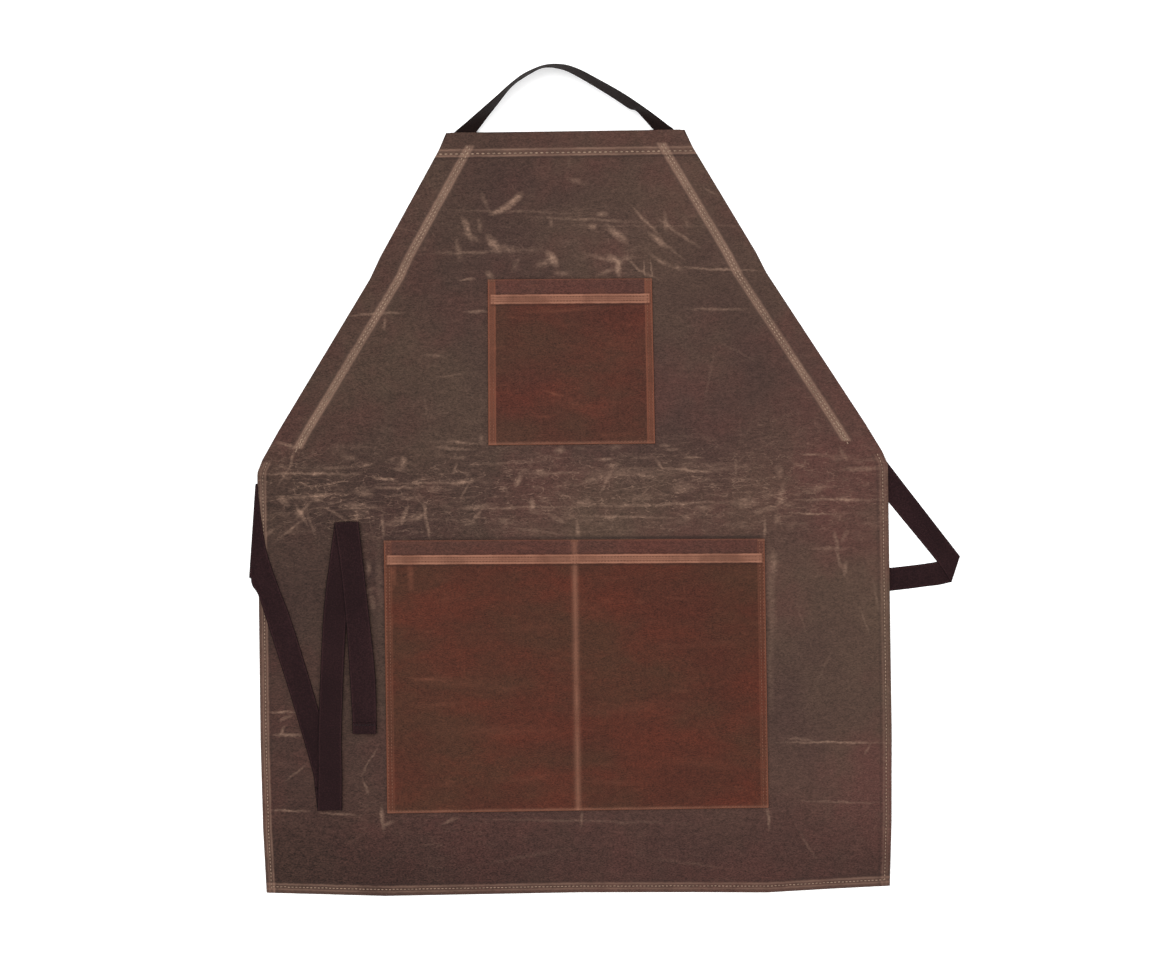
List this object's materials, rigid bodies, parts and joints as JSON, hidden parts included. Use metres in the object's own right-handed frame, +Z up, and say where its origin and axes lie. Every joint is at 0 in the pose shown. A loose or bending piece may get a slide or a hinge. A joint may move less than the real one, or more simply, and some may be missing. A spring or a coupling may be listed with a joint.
{
  "type": "work apron",
  "caption": "Waxed canvas bib apron lying flat, face up, with slanted strap channels, patch pockets, a neck loop and long waist ties.",
  "frame": {"origin": "on the surface the apron lies on, under the middle of the waist", "axes": "+Y towards the neck along the length, +X to the right looking down on the front, +Z up out of the front"},
  "size_m": [0.7796, 0.9077, 0.0261],
  "materials": {
    "waxed_canvas": "waxed canvas, rubbed pale on folds and hems",
    "pocket_canvas": "oiled reddish brown canvas, rubbed orange on its edges",
    "webbing": "matt twill tape",
    "tan_thread": "waxed thread",
    "rust_thread": "waxed thread",
    "black_thread": "waxed thread"
  },
  "bodies": {
    "skirt": {"skirt_panel": "waxed_canvas", "lower_pocket": "pocket_canvas", "tie_left_root": "webbing", "side_hem_thread_left": "tan_thread", "side_hem_thread_right": "tan_thread", "bottom_hem_thread": "tan_thread", "lower_pocket_hem_thread": "rust_thread", "lower_pocket_seam_thread": "rust_thread", "lower_pocket_divider_thread": "rust_thread", "lower_pocket_tacks": "rust_thread"},
    "bib": {"bib_panel": "waxed_canvas", "chest_pocket": "pocket_canvas", "channel_strap_left": "webbing", "channel_strap_right": "webbing", "top_hem_thread": "tan_thread", "channel_thread_left": "tan_thread", "channel_thread_right": "tan_thread", "chest_pocket_hem_thread": "rust_thread", "chest_pocket_seam_thread": "rust_thread", "chest_pocket_tacks": "rust_thread"},
    "neck_strap": {"neck_loop": "webbing"},
    "left_tie": {"tie_left": "webbing", "tie_left_end_turn": "webbing", "tie_left_end_thread": "black_thread"},
    "right_tie": {"tie_right": "webbing"}
  },
  "joints": [
    {"name": "bib_fold", "type": "hinge", "parent": "skirt", "child": "bib", "pos_m": [0, 0.012, 0.0037], "axis": [1, 0, 0], "range_deg": [0, 165]},
    {"name": "neck_loop_flex", "type": "hinge", "parent": "bib", "child": "neck_strap", "pos_m": [0, 0.36415, 0.00235], "axis": [1, 0, 0], "range_deg": [-45, 90]},
    {"name": "left_tie_unfold", "type": "hinge", "parent": "skirt", "child": "left_tie", "pos_m": [-0.27, -0.3755, 0.0054], "axis": [1, 0, 0], "range_deg": [0, 165]},
    {"name": "right_tie_swing", "type": "hinge", "parent": "skirt", "child": "right_tie", "pos_m": [0.3272, -0.0025, 0.00035], "axis": [0, 0, 1], "range_deg": [-10, 60]}
  ]
}
